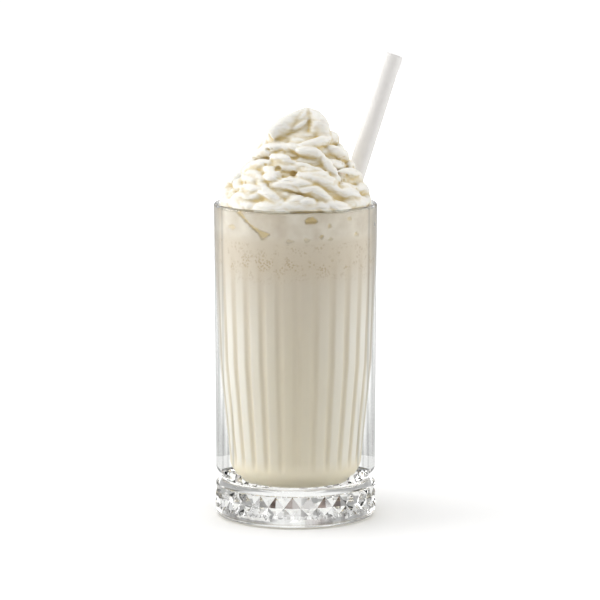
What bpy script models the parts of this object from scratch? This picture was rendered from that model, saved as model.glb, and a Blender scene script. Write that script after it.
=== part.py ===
"""A vanilla milkshake in a tall pressed glass, with piped whipped cream and a straw.

Metres, +Z up. The origin is the middle of the glass's underside, and -Y is the front.
"""

import math
import random

import bmesh
import bpy
from mathutils import Vector

# Glass: the turned profile
GLASS_HEIGHT = 0.151
RIM_RADIUS = 0.0390
RIM_INNER_RADIUS = 0.0371
LIP_DROP = 0.0012
BODY_FOOT_RADIUS = 0.0383
BODY_CORNER_Z = 0.0240
NECK_RADIUS = 0.0353
NECK_Z = 0.0188
SHOULDER_RADIUS = 0.0383
SHOULDER_Z = 0.0157
FOOT_RADIUS = 0.0386
STANDING_RADIUS = 0.0358
FOOT_EDGE_Z = 0.0034
FLOOR_Z = 0.0170
FLOOR_RADIUS = 0.0200
CAVITY_CORNER_RADIUS = 0.0298
CAVITY_CORNER_Z = 0.0285
CAVITY_MIDDLE_RADIUS = 0.0345
CAVITY_MIDDLE_Z = 0.0760
CORNER_DEGREES = (0, 22, 45, 68, 90)

# Glass: the lip's rounding, the curve from body to neck, and the foot's rounding
LIP_CORNER = 0.0004
LIP_CORNER_DROP = 0.0003
LIP_FLAT = 0.0001
NECK_CURVE = ((0.0370, 0.0220), (0.0356, 0.0202))
NECK_HOLLOW = 0.0005
NECK_HOLLOW_DROP = 0.0012
FOOT_CURVE = (0.0377, 0.0011)

# Glass: the ribs down its inside, fading out upward
RIBS = 26
RIB_TURN = math.radians(8.3)
RIB_COLUMNS = 4
RIB_HALF_WIDTH = 0.5
RIB_DEPTH = 0.0010
RIB_LOW_Z = 0.0205
RIB_FULL_Z = 0.0285
RIB_FADE_Z = 0.0900
RIB_TOP_Z = 0.1330

# Glass: the cut diamonds round its foot
DIAMONDS = 30
DIAMOND_TURN = math.radians(3.8)
DIAMOND_COLUMNS = 4
DIAMOND_LOW_Z = 0.0062
DIAMOND_MIDDLE_Z = 0.0099
DIAMOND_TOP_Z = 0.0153
DIAMOND_DEPTH = 0.0011
BAND_MARGIN = 0.0001

# Contents
GAP = 0.0003
DRINK_TOP_Z = 0.1355
CREAM_STEPS = 60
PLUG_TOP_Z = 0.1500
MOUND_LOW_Z = 0.1465
ROOM_TOP_Z = 0.2000

# Straw: its axis passes through STRAW_AT and leans by STRAW_LEAN for each metre of height
STRAW_AT = Vector((0.0250, 0.0170, 0.1500))
STRAW_LEAN = Vector((0.325, 0.200, 1.000))
STRAW_RADIUS = 0.0045
STRAW_WALL = 0.0004
STRAW_LOW_Z = 0.0215
STRAW_TOP_Z = 0.2190
STRAW_STEPS = 24

# Whipped cream: one ridged rope, piped round and up to a peak
ROPE_TURNS = 3.30
ROPE_START = math.radians(110.0)
ROPE_LOW_Z = 0.1510
ROPE_TOP_Z = 0.1848
ROPE_LOW_REACH = 0.0285
ROPE_TOP_REACH = 0.0055
ROPE_LOW_RADIUS = 0.0082
ROPE_TOP_RADIUS = 0.0074
ROPE_POINTS = 150
ROPE_RIDGES = 6
ROPE_RIDGE_DEPTH = 0.50
ROPE_TWIST = math.radians(5.0) / 0.001
PEAK_SHIFT = Vector((0.0045, 0.0000, 0.0))
PEAK_Z = 0.1966
PEAK_RUN = 0.0045
PEAK_RISE = 0.0045
PEAK_POINTS = 14

# Whipped cream: the mound's reach from its axis at each height, in millimetres
MOUND = ((150, 36.6), (157, 34.6), (163, 31.6), (168, 27.6), (173, 23.8), (178, 20.2), (183, 16.4), (188, 10.0))

# The mound's plain core, as (radius, height) in metres
CORE = ((0.0, 0.1820), (0.0080, 0.1760), (0.0250, 0.1560), (0.0340, 0.1495), (0.0340, 0.1440), (0.0, 0.1440))

# Folds on the mound's front: the turn from the front where each starts and ends, in degrees to
# the right, its heights there, how far it arches up between them, and its thickness, in millimetres
FRONT_FOLDS = (
    (-71, -29, 150.0, 156.5, 2.5, 3.6),
    (-40, -6, 160.5, 151.5, 1.5, 2.8),
    (-27, 37, 161.0, 150.5, 6.0, 3.4),
    (-8, 19, 155.0, 152.0, 1.2, 3.0),
    (-12, 48, 164.5, 155.0, 4.5, 3.0),
    (0, 42, 168.0, 161.0, 1.5, 2.6),
    (-8, 36, 176.6, 174.0, 1.5, 2.6),
    (31, 43, 175.0, 162.5, 0.5, 2.4),
    (-5, 34, 171.8, 166.5, -0.5, 2.4),
    (-8, 66, 178.8, 182.0, 0.5, 2.6),
    (-88, -40, 180.0, 184.0, 0.5, 2.6),
    (-84, -34, 172.5, 179.0, 1.2, 3.0),
    (-78, -34, 165.0, 171.0, 1.5, 3.2),
    (-70, -26, 161.5, 158.5, 6.0, 2.4),
    (-100, -78, 152.0, 165.0, 1.0, 3.2),
    (-60, -27, 160.0, 158.8, 0.4, 2.2),
    (-42, -16, 168.8, 165.0, 0.8, 2.6),
    (-44, -4, 174.5, 171.5, 0.6, 2.6),
    (20, 120, 184.5, 186.5, 1.0, 4.6),
    (36, 74, 158.0, 151.5, 1.5, 3.2),
    (50, 96, 167.0, 160.0, 1.5, 2.8),
)
BACK_FOLDS = ((155.0, 34), (164.0, 38), (173.5, 44), (181.0, 56))
RIM_HEIGHT = 151.0
RIM_SPACING = 31
BACK_FROM = 70
BACK_TO = 262
BACK_DROP = 8.0
FOLD_POINTS = 18
CREAM_VOXEL = 0.0009
CREAM_TRIANGLES = 4600
SEED = 11


def clear_scene():
    """Removes whatever the scene holds."""
    for obj in list(bpy.data.objects):
        bpy.data.objects.remove(obj, do_unlink=True)


def new_collection(name, hidden):
    """Adds a collection to the scene."""
    collection = bpy.data.collections.new(name)
    collection.hide_render = hidden
    bpy.context.scene.collection.children.link(collection)
    return collection


def new_material(name, colour, roughness, transmission=0.0):
    """A Principled material in one plain colour."""
    material = bpy.data.materials.new(name)
    material.use_nodes = True
    shader = material.node_tree.nodes["Principled BSDF"]
    shader.inputs["Base Color"].default_value = (*colour, 1.0)
    shader.inputs["Roughness"].default_value = roughness
    shader.inputs["Metallic"].default_value = 0.0
    shader.inputs["Transmission Weight"].default_value = transmission
    return material


def mesh_object(name, mesh, collection):
    """An object with this mesh, in this collection."""
    obj = bpy.data.objects.new(name, mesh)
    collection.objects.link(obj)
    return obj


def bake(obj):
    """Applies the object's modifiers to its mesh."""
    bpy.context.view_layer.update()
    graph = bpy.context.evaluated_depsgraph_get()
    mesh = bpy.data.meshes.new_from_object(obj.evaluated_get(graph))
    obj.modifiers.clear()
    obj.data = mesh


def turned(name, profile, steps, collection):
    """A solid turned about Z from a profile of (radius, z) that runs down its outer side."""
    mesh = bpy.data.meshes.new(name)
    points = [(radius, 0.0, z) for radius, z in profile]
    edges = [(i, i + 1) for i in range(len(points) - 1)]
    mesh.from_pydata(points, edges, [])
    obj = mesh_object(name, mesh, collection)
    screw = obj.modifiers.new("Turn", "SCREW")
    screw.axis = "Z"
    screw.steps = steps
    screw.render_steps = steps
    screw.use_merge_vertices = True
    screw.merge_threshold = 0.00001
    bake(obj)
    return obj


def boolean(obj, other, operation):
    """Joins, cuts or intersects obj with other, and applies the result."""
    modifier = obj.modifiers.new(operation.title(), "BOOLEAN")
    modifier.operation = operation
    modifier.object = other
    bake(obj)


def shade(obj, angle):
    """Smooth shading, with edges sharper than the angle kept."""
    obj.data.shade_smooth()
    obj.data.set_sharp_from_angle(angle=math.radians(angle))


def wall_radius(z):
    """The inner radius of the glass at a height above its rounded bottom corner."""
    if z < CAVITY_MIDDLE_Z:
        low = (CAVITY_CORNER_RADIUS, CAVITY_CORNER_Z)
        high = (CAVITY_MIDDLE_RADIUS, CAVITY_MIDDLE_Z)
    else:
        low = (CAVITY_MIDDLE_RADIUS, CAVITY_MIDDLE_Z)
        high = (RIM_INNER_RADIUS, GLASS_HEIGHT)
    share = (z - low[1]) / (high[1] - low[1])
    return low[0] + share * (high[0] - low[0])


def cavity_profile(inset, top):
    """The inside of the glass from a height down to the floor's middle, moved in by inset."""
    heights = [top] + [z for z in (RIB_TOP_Z, RIB_FADE_Z, CAVITY_MIDDLE_Z) if z < top]
    wall = [(wall_radius(z) - inset, z) for z in heights]
    corner = []
    for degrees in reversed(CORNER_DEGREES):
        angle = math.radians(degrees)
        radius = FLOOR_RADIUS + (CAVITY_CORNER_RADIUS - FLOOR_RADIUS) * math.sin(angle)
        z = FLOOR_Z + (CAVITY_CORNER_Z - FLOOR_Z) * (1.0 - math.cos(angle))
        corner.append((radius - inset, z + inset * math.cos(angle)))
    return wall + corner + [(0.0, FLOOR_Z + inset)]


def block_profile():
    """The glass as if it were solid, from the middle of its mouth down to that of its underside."""
    crest = (RIM_RADIUS + RIM_INNER_RADIUS) / 2 + LIP_FLAT
    profile = [(0.0, GLASS_HEIGHT), (crest, GLASS_HEIGHT)]
    profile.append((RIM_RADIUS - LIP_CORNER, GLASS_HEIGHT - LIP_CORNER_DROP))
    profile.append((RIM_RADIUS, GLASS_HEIGHT - LIP_DROP))
    profile.append((BODY_FOOT_RADIUS, BODY_CORNER_Z))
    profile.extend(NECK_CURVE)
    profile.append((NECK_RADIUS, NECK_Z))
    profile.append((NECK_RADIUS + NECK_HOLLOW, NECK_Z - NECK_HOLLOW_DROP))
    profile.append((SHOULDER_RADIUS, SHOULDER_Z))
    half_up = (DIAMOND_MIDDLE_Z + DIAMOND_TOP_Z) / 2
    half_down = (DIAMOND_MIDDLE_Z + DIAMOND_LOW_Z) / 2
    for z in (DIAMOND_TOP_Z, half_up, DIAMOND_MIDDLE_Z, half_down, DIAMOND_LOW_Z):
        profile.append((FOOT_RADIUS, z))
    profile.append((FOOT_RADIUS, FOOT_EDGE_Z))
    profile.append(FOOT_CURVE)
    profile.append((STANDING_RADIUS, 0.0))
    profile.append((0.0, 0.0))
    return profile


def place_across(x, y, count):
    """Where a point lies across its panel of count round the axis: 0 in the middle, 1 at an edge."""
    pitch = math.tau / count
    angle = math.atan2(y, x)
    return abs((angle + pitch / 2) % pitch - pitch / 2) / (pitch / 2)


def rib_depth(place, z):
    """How far a rib stands in from the wall: full near the foot, and fading out upward."""
    rise = min(1.0, max(0.0, (z - RIB_LOW_Z) / (RIB_FULL_Z - RIB_LOW_Z)))
    fall = min(1.0, max(0.0, (RIB_TOP_Z - z) / (RIB_TOP_Z - RIB_FADE_Z)))
    return RIB_DEPTH * rise * fall * max(0.0, 1.0 - place / RIB_HALF_WIDTH)


def diamond_depth(place, z):
    """How far the foot's band is cut in: nothing at each diamond's point, full on its outline."""
    if z > DIAMOND_MIDDLE_Z:
        height = (z - DIAMOND_MIDDLE_Z) / (DIAMOND_TOP_Z - DIAMOND_MIDDLE_Z)
    else:
        height = (DIAMOND_MIDDLE_Z - z) / (DIAMOND_MIDDLE_Z - DIAMOND_LOW_Z)
    away = place + height
    return DIAMOND_DEPTH * (1.0 - abs(1.0 - away))


def move_in(vertex, depth):
    """Moves a vertex towards the glass's axis."""
    radius = math.hypot(vertex.co.x, vertex.co.y)
    vertex.co.x *= (radius - depth) / radius
    vertex.co.y *= (radius - depth) / radius


def press_ribs(obj):
    """Presses the glass's ribs into a turned filling of it, and turns it to their place."""
    for vertex in obj.data.vertices:
        x, y, z = vertex.co
        if math.hypot(x, y) > FLOOR_RADIUS:
            move_in(vertex, rib_depth(place_across(x, y, RIBS), z))
    obj.rotation_euler.z = RIB_TURN


def in_band(vertex):
    """Whether a point of the solid glass lies on the foot's cut band."""
    return DIAMOND_LOW_Z - BAND_MARGIN < vertex.co.z < DIAMOND_TOP_Z + BAND_MARGIN


def split_along_grooves(mesh):
    """Splits the band's squares so that their diagonals follow the cut grooves."""
    bm = bmesh.new()
    bm.from_mesh(mesh)
    for face in list(bm.faces):
        if len(face.verts) != 4 or not all(in_band(v) for v in face.verts):
            continue
        reach = [v.co.xy.length for v in face.verts]
        first = 0 if reach[0] + reach[2] < reach[1] + reach[3] else 1
        bmesh.utils.face_split(face, face.verts[first], face.verts[first + 2])
    bm.to_mesh(mesh)
    bm.free()


def make_glass(collection, guides):
    """The glass: a turned block, cut round its foot, with the ribbed cavity cut out of it."""
    glass = turned("glass", block_profile(), DIAMONDS * DIAMOND_COLUMNS, collection)
    for vertex in glass.data.vertices:
        if in_band(vertex):
            x, y, z = vertex.co
            move_in(vertex, diamond_depth(place_across(x, y, DIAMONDS), z))
    split_along_grooves(glass.data)
    glass.rotation_euler.z = DIAMOND_TURN
    over = GLASS_HEIGHT + LIP_CORNER_DROP
    crest = (RIM_RADIUS + RIM_INNER_RADIUS) / 2
    profile = [(0.0, over), (2 * (crest - LIP_FLAT) - RIM_INNER_RADIUS - LIP_CORNER, over)]
    profile.append((RIM_INNER_RADIUS + LIP_CORNER, GLASS_HEIGHT - LIP_CORNER_DROP))
    profile += cavity_profile(0.0, GLASS_HEIGHT - LIP_DROP)
    cavity = turned("cavity", profile, RIBS * RIB_COLUMNS, guides)
    press_ribs(cavity)
    boolean(glass, cavity, "DIFFERENCE")
    bpy.data.objects.remove(cavity, do_unlink=True)
    shade(glass, 25)
    glass.data.materials.append(new_material("clear_glass", (0.97, 0.98, 0.97), 0.02, 1.0))
    return glass


def straw_turn():
    """The rotation that lays +Z along the straw."""
    return STRAW_LEAN.to_track_quat("Z", "Y")


def straw_point(z):
    """The point of the straw's axis at a height."""
    return STRAW_AT + STRAW_LEAN * (z - STRAW_AT.z)


def straw_cutter(collection):
    """A rod round the straw, wider by the gap, open at the top of all it cuts."""
    start = straw_point(STRAW_LOW_Z) - STRAW_LEAN.normalized() * GAP
    length = (straw_point(STRAW_TOP_Z) - start).length
    radius = STRAW_RADIUS + GAP
    profile = [(0.0, length), (radius, length), (radius, 0.0), (0.0, 0.0)]
    cutter = turned("straw_hole", profile, STRAW_STEPS, collection)
    cutter.location = start
    cutter.rotation_mode = "QUATERNION"
    cutter.rotation_quaternion = straw_turn()
    cutter.hide_render = True
    cutter.display_type = "WIRE"
    return cutter


def make_straw(collection):
    """The straw: a thin tube, open at both ends."""
    length = (straw_point(STRAW_TOP_Z) - straw_point(STRAW_LOW_Z)).length
    bore = STRAW_RADIUS - STRAW_WALL
    ring = [(STRAW_RADIUS, length), (STRAW_RADIUS, 0.0), (bore, 0.0), (bore, length)]
    straw = turned("straw", ring + ring[:1], STRAW_STEPS, collection)
    weld = bmesh.new()
    weld.from_mesh(straw.data)
    bmesh.ops.remove_doubles(weld, verts=weld.verts, dist=0.00001)
    weld.to_mesh(straw.data)
    weld.free()
    straw.location = straw_point(STRAW_LOW_Z)
    straw.rotation_mode = "QUATERNION"
    straw.rotation_quaternion = straw_turn()
    shade(straw, 40)
    straw.data.materials.append(new_material("white_paper", (0.90, 0.89, 0.88), 0.45))
    return straw


def make_milkshake(cutter, collection):
    """The drink: all of the glass's inside up to the cream, cut round the straw."""
    top = DRINK_TOP_Z - GAP / 2
    profile = [(0.0, top)] + cavity_profile(GAP, top)
    drink = turned("milkshake", profile, RIBS * RIB_COLUMNS, collection)
    press_ribs(drink)
    boolean(drink, cutter, "DIFFERENCE")
    shade(drink, 40)
    drink.data.materials.append(new_material("milkshake", (0.76, 0.71, 0.60), 0.40))
    return drink


def star_section(name, ridges, depth, collection):
    """The outline of the piping tip: round lobes with creases between them, about 1 m across."""
    curve = bpy.data.curves.new(name, "CURVE")
    curve.dimensions = "2D"
    spline = curve.splines.new("POLY")
    around = ridges * 8
    spline.points.add(around - 1)
    for i, point in enumerate(spline.points):
        angle = math.tau * i / around
        lobe = abs(math.cos(angle * ridges / 2))
        reach = 1.0 - depth * (1.0 - lobe ** 0.7)
        point.co = (reach * math.cos(angle), reach * math.sin(angle), 0.0, 1.0)
    spline.use_cyclic_u = True
    section = bpy.data.objects.new(name, curve)
    section.hide_render = True
    collection.objects.link(section)
    return section


def rope_path():
    """Points of the rope's middle with its radius: a conical spiral, a little uneven."""
    dice = random.Random(SEED)
    phases = [dice.uniform(0.0, math.tau) for _ in range(6)]
    path = []
    for i in range(ROPE_POINTS):
        share = i / (ROPE_POINTS - 1)
        angle = ROPE_START + math.tau * ROPE_TURNS * share
        wave = math.sin(angle * 1.7 + phases[0]) + math.sin(angle * 0.6 + phases[1])
        lift = math.sin(angle * 1.3 + phases[2])
        reach = ROPE_LOW_REACH + (ROPE_TOP_REACH - ROPE_LOW_REACH) * share ** 0.92
        reach += 0.0008 * wave * (1.0 - share)
        z = ROPE_LOW_Z + (ROPE_TOP_Z - ROPE_LOW_Z) * share + 0.0009 * lift
        radius = ROPE_LOW_RADIUS + (ROPE_TOP_RADIUS - ROPE_LOW_RADIUS) * share
        radius *= 1.0 + 0.06 * math.sin(angle * 3.1 + phases[3]) * math.sin(angle * 1.9 + phases[4])
        start = min(1.0, 0.35 + share * 9.0)
        place = Vector((reach * math.cos(angle), reach * math.sin(angle), z))
        path.append((place + PEAK_SHIFT * share ** 1.5, radius * start))
    end, before = path[-1][0], path[-2][0]
    onward = end + (end - before).normalized() * PEAK_RUN + Vector((0.0, 0.0, PEAK_RISE))
    tip = Vector((PEAK_SHIFT.x + 0.0005, PEAK_SHIFT.y - 0.0010, PEAK_Z))
    for i in range(1, PEAK_POINTS + 1):
        share = i / PEAK_POINTS
        place = end.lerp(onward, share).lerp(onward.lerp(tip, share), share)
        path.append((place, ROPE_TOP_RADIUS * (1.0 - share) ** 0.75 + 0.0004))
    return path


def tube_mesh(curve, points, guides):
    """The mesh of a curve laid through points of (place, radius, tilt), with its caps welded."""
    spline = curve.splines.new("POLY")
    spline.points.add(len(points) - 1)
    for point, (place, radius, tilt) in zip(spline.points, points):
        point.co = (*place, 1.0)
        point.radius = radius
        point.tilt = tilt
    obj = bpy.data.objects.new(curve.name, curve)
    guides.objects.link(obj)
    bpy.context.view_layer.update()
    graph = bpy.context.evaluated_depsgraph_get()
    mesh = bpy.data.meshes.new_from_object(obj.evaluated_get(graph))
    bpy.data.objects.remove(obj, do_unlink=True)
    weld = bmesh.new()
    weld.from_mesh(mesh)
    bmesh.ops.remove_doubles(weld, verts=weld.verts, dist=0.000001)
    weld.to_mesh(mesh)
    weld.free()
    return mesh


def make_rope(section, guides):
    """The piped rope as a mesh object."""
    curve = bpy.data.curves.new("cream_rope", "CURVE")
    curve.dimensions = "3D"
    curve.twist_mode = "Z_UP"
    curve.bevel_mode = "OBJECT"
    curve.bevel_object = section
    curve.use_fill_caps = True
    path = rope_path()
    tilt = 0.0
    points = []
    for i, (place, radius) in enumerate(path):
        if i:
            easing = 1.0 - 0.6 * i / len(path)
            tilt += ROPE_TWIST * easing * (place - path[i - 1][0]).length
        points.append((place, radius, tilt))
    return tube_mesh(curve, points, guides)


def mound_reach(height):
    """How far the mound reaches from its axis at a height, both in millimetres."""
    for (low, wide), (high, narrow) in zip(MOUND, MOUND[1:]):
        if height < high:
            return wide + (narrow - wide) * max(0.0, (height - low) / (high - low))
    return MOUND[-1][1]


def fold_path(fold):
    """Points of a fold's middle with its radius: it lies half sunk in the mound, with thin ends."""
    start, end, low, high, arch, thickness = fold
    path = []
    for i in range(FOLD_POINTS):
        share = i / (FOLD_POINTS - 1)
        turn = math.radians(start + (end - start) * share)
        height = low + (high - low) * share + arch * 4.0 * share * (1.0 - share)
        full = math.sin(math.pi * share) ** 0.55
        reach = mound_reach(height) - thickness * (1.15 - 0.25 * full)
        lean = PEAK_SHIFT * 1000.0 * ((height - 150.0) / 40.0) ** 1.5 if height > 150.0 else Vector()
        place = Vector((reach * math.sin(turn), -reach * math.cos(turn), height)) + lean
        path.append((place / 1000.0, thickness / 1000.0 * max(full, 0.12)))
    return path


def back_folds():
    """Folds all round at the rim, and in tiers round the sides and the back, a little uneven."""
    dice = random.Random(SEED + 1)
    folds = []
    for turn in range(0, 360, RIM_SPACING):
        low = RIM_HEIGHT + dice.uniform(-1.0, 0.5)
        top = RIM_HEIGHT + dice.uniform(0.0, 2.5)
        length = RIM_SPACING * dice.uniform(1.2, 1.7)
        folds.append((turn - length / 2, turn + length / 2, top, low, 0.8, dice.uniform(2.6, 3.6)))
    for height, spacing in BACK_FOLDS:
        turn = BACK_FROM + dice.uniform(0.0, spacing / 2)
        while turn < BACK_TO:
            length = spacing * dice.uniform(1.25, 1.7)
            top = height + BACK_DROP / 2 + dice.uniform(-1.5, 1.5)
            low = top - BACK_DROP * dice.uniform(0.7, 1.2)
            arch = dice.uniform(0.5, 3.0)
            folds.append((turn - length / 2, turn + length / 2, top, low, arch, dice.uniform(2.3, 3.2)))
            turn += spacing * dice.uniform(0.8, 1.15)
    return folds


def make_fold(fold, guides):
    """One fold as a mesh: a round tube, thickest in its middle."""
    curve = bpy.data.curves.new("cream_fold", "CURVE")
    curve.dimensions = "3D"
    curve.bevel_depth = 1.0
    curve.bevel_resolution = 3
    curve.use_fill_caps = True
    return tube_mesh(curve, [(place, radius, 0.0) for place, radius in fold_path(fold)], guides)


def make_cream(cutter, collection, guides):
    """The cream: a plug in the glass's mouth, and the piped mound on it, cut round the straw."""
    section = star_section("rope_section", ROPE_RIDGES, ROPE_RIDGE_DEPTH, guides)
    mound = turned("mound", CORE, CREAM_STEPS, guides)
    bm = bmesh.new()
    bm.from_mesh(mound.data)
    bm.from_mesh(make_rope(section, guides))
    for fold in [*FRONT_FOLDS, *back_folds()]:
        bm.from_mesh(make_fold(fold, guides))
    bm.to_mesh(mound.data)
    bm.free()
    remesh = mound.modifiers.new("Fuse", "REMESH")
    remesh.mode = "VOXEL"
    remesh.voxel_size = CREAM_VOXEL
    bake(mound)
    triangles = sum(len(face.vertices) - 2 for face in mound.data.polygons)
    decimate = mound.modifiers.new("Thin", "DECIMATE")
    decimate.ratio = CREAM_TRIANGLES / triangles
    bake(mound)
    mouth = wall_radius(GLASS_HEIGHT) - GAP
    space = [(0.0, ROOM_TOP_Z), (mouth, ROOM_TOP_Z), (mouth, MOUND_LOW_Z), (0.0, MOUND_LOW_Z)]
    room = turned("room", space, CREAM_STEPS, guides)
    boolean(mound, room, "INTERSECT")
    low = DRINK_TOP_Z + GAP / 2
    high = PLUG_TOP_Z
    plug = [(0.0, high), (wall_radius(high) - GAP, high), (wall_radius(low) - GAP, low), (0.0, low)]
    cream = turned("whipped_cream", plug, CREAM_STEPS, collection)
    boolean(cream, mound, "UNION")
    boolean(cream, cutter, "DIFFERENCE")
    for helper in (mound, room, section):
        bpy.data.objects.remove(helper, do_unlink=True)
    shade(cream, 60)
    cream.data.materials.append(new_material("whipped_cream", (0.93, 0.91, 0.86), 0.50))
    return cream


def main():
    clear_scene()
    parts = new_collection("vanilla_milkshake", hidden=False)
    guides = new_collection("guides", hidden=True)
    cutter = straw_cutter(guides)
    make_glass(parts, guides)
    make_straw(parts)
    make_milkshake(cutter, parts)
    make_cream(cutter, parts, guides)


main()
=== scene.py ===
"""Looks of the vanilla milkshake: fine glass, drink, whipped cream and straw.

Metres, +Z up. -Y is the front, which the photograph's camera faces.
"""
import math
import random

import bmesh
import bpy
import numpy as np
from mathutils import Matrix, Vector, noise


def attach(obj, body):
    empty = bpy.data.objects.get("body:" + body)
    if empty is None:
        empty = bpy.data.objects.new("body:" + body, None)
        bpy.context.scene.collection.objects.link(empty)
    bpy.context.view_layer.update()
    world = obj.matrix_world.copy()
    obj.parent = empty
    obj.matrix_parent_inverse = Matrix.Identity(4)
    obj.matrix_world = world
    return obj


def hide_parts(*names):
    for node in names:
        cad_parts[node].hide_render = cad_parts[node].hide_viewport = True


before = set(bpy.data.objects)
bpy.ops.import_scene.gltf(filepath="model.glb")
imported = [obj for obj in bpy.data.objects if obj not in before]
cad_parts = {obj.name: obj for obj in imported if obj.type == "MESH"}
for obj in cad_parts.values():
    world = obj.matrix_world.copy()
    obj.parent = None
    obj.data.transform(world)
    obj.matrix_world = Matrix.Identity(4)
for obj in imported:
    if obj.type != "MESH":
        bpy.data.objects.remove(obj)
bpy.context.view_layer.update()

# Camera, as the photograph was taken, with its frame 600 pixels wide
IMAGE_SIZE = 600
FOCAL_PIXELS = 3164
SENSOR_MM = 36.0
CAMERA_AT = (0.00213, -1.5, 0.321)
CAMERA_DOWN = math.radians(8.235)

# Glass, with the same sizes as the solid but for where its ribs start
GLASS_HEIGHT = 0.151
RIM_RADIUS = 0.0390
RIM_INNER_RADIUS = 0.0371
LIP_DROP = 0.0012
BODY_FOOT_RADIUS = 0.0383
BODY_CORNER_Z = 0.0240
NECK_RADIUS = 0.0353
NECK_Z = 0.0188
NECK_TOP_Z = 0.0194
NECK_MIDDLE_Z = 0.0192
NECK_EDGE = (0.0359, 0.0175)
NECK_PULL = (0.0355, 0.0178)
CORNER_PULLS = ((0.03825, 0.0218), (0.0362, 0.0209))
SHOULDER_RADIUS = 0.0383
SHOULDER_Z = 0.0157
FOOT_RADIUS = 0.0386
STANDING_RADIUS = 0.0358
FOOT_EDGE_Z = 0.0034
FLOOR_Z = 0.0170
FLOOR_RADIUS = 0.0200
CAVITY_CORNER_RADIUS = 0.0298
CAVITY_CORNER_Z = 0.0285
CAVITY_MIDDLE_RADIUS = 0.0345
CAVITY_MIDDLE_Z = 0.0760
CAVITY_CORNER_ROWS = 24
CAVITY_WALL_ROWS = 59
RIBS = 26
RIB_TURN = math.radians(8.3)
RIB_COLUMNS = 20
RIB_HALF_WIDTH = 0.6
RIB_DEPTH = 0.0007
RIB_LOW_Z = 0.0240
RIB_FULL_Z = 0.0305
RIB_FADE_Z = 0.0900
RIB_TOP_Z = 0.1330
DIAMONDS = 30
DIAMOND_TURN = math.radians(3.8)
DIAMOND_COLUMNS = 16
DIAMOND_LOW_Z = 0.0062
DIAMOND_MIDDLE_Z = 0.0099
DIAMOND_TOP_Z = 0.0153
DIAMOND_DEPTH = 0.0011

# Contents
INTO_WALL = 0.00015
DRINK_TOP_Z = 0.1355
DRINK_WALL_ROWS = 90
PLUG_LOW_Z = 0.1352
PLUG_HIGH_Z = 0.1494
PLUG_INTO_WALL = 0.00019
PLUG_EDGE_IN = 0.0004
PLUG_TOP = (0.0300, 0.1500)
PLUG_ROWS = 44
PLUG_COLUMNS = 480

# Straw
STRAW_AT = Vector((0.0250, 0.0170, 0.1500))
STRAW_LEAN = Vector((0.325, 0.200, 1.000))
STRAW_RADIUS = 0.0045
STRAW_WALL = 0.0004
STRAW_LOW_Z = 0.0215
STRAW_TOP_Z = 0.2190
STRAW_COLUMNS = 64
STRAW_OUTER_ROWS = 40
STRAW_BORE_ROWS = 20
STRAW_ROUNDING = 0.00012

# Whipped cream: the rope
ROPE_TURNS = 3.30
ROPE_START = math.radians(110.0)
ROPE_LOW_Z = 0.1510
ROPE_TOP_Z = 0.1848
ROPE_LOW_REACH = 0.0285
ROPE_TOP_REACH = 0.0055
ROPE_LOW_RADIUS = 0.0082
ROPE_TOP_RADIUS = 0.0064
ROPE_POINTS = 150
ROPE_WANDER = 0.0008
ROPE_LIFT = 0.0009
ROPE_SWELL = 0.06
ROPE_RIDGES = 6
ROPE_RIDGE_DEPTH = 0.35
ROPE_RIDGE_POINTS = 12
ROPE_TWIST = math.radians(5.0) / 0.001
PEAK_SHIFT = Vector((0.0045, 0.0000, 0.0))
PEAK_Z = 0.1966
PEAK_RUN = 0.0045
PEAK_RISE = 0.0045
PEAK_POINTS = 14

# Whipped cream: the mound and its folds, in millimetres and degrees as in the solid
MOUND = (
    (150, 36.6), (157, 34.6), (163, 31.6), (168, 27.6),
    (173, 23.8), (178, 20.2), (183, 16.4), (188, 10.0),
)
LEAN_FROM = 150.0
LEAN_RUN = 40.0
CORE = (
    (0.00001, 0.1440), (0.0340, 0.1440), (0.0340, 0.1495),
    (0.0250, 0.1560), (0.0080, 0.1760), (0.00001, 0.1820),
)
CORE_COLUMNS = 96
FRONT_FOLDS = (
    (-71, -29, 150.0, 156.5, 2.5, 3.6), (-40, -6, 160.5, 151.5, 1.5, 2.8),
    (-27, 37, 161.0, 150.5, 6.0, 3.4), (-8, 19, 155.0, 152.0, 1.2, 3.0),
    (-12, 48, 164.5, 155.0, 4.5, 3.0), (0, 42, 168.0, 161.0, 1.5, 2.6),
    (-8, 36, 176.6, 174.0, 1.5, 2.6), (31, 43, 175.0, 162.5, 0.5, 2.4),
    (-5, 34, 171.8, 166.5, -0.5, 2.4), (-8, 66, 178.8, 182.0, 0.5, 2.6),
    (-88, -40, 180.0, 184.0, 0.5, 2.6), (-84, -34, 172.5, 179.0, 1.2, 3.0),
    (-78, -34, 165.0, 171.0, 1.5, 3.2), (-70, -26, 161.5, 158.5, 6.0, 2.4),
    (-100, -78, 152.0, 165.0, 1.0, 3.2), (-60, -27, 160.0, 158.8, 0.4, 2.2),
    (-42, -16, 168.8, 165.0, 0.8, 2.6), (-44, -4, 174.5, 171.5, 0.6, 2.6),
    (20, 120, 184.5, 186.5, 1.0, 4.6), (36, 74, 158.0, 151.5, 1.5, 3.2),
    (50, 96, 167.0, 160.0, 1.5, 2.8), (-76, -56, 161.8, 159.0, 0.3, 2.8),
    (-36, -16, 165.6, 163.2, 0.3, 2.6), (-66, -38, 163.8, 162.6, 0.3, 2.8),
)
BACK_FOLDS = ((155.0, 34), (164.0, 38), (173.5, 44), (181.0, 56))
RIM_HEIGHT = 151.0
RIM_SPACING = 31
BACK_FROM = 70
BACK_TO = 262
BACK_DROP = 8.0
FOLD_POINTS = 18
CREAM_VOXEL = 0.00053
CREAM_SOFTENING = 5
RIPPLE_SOFTENING = 2
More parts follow.
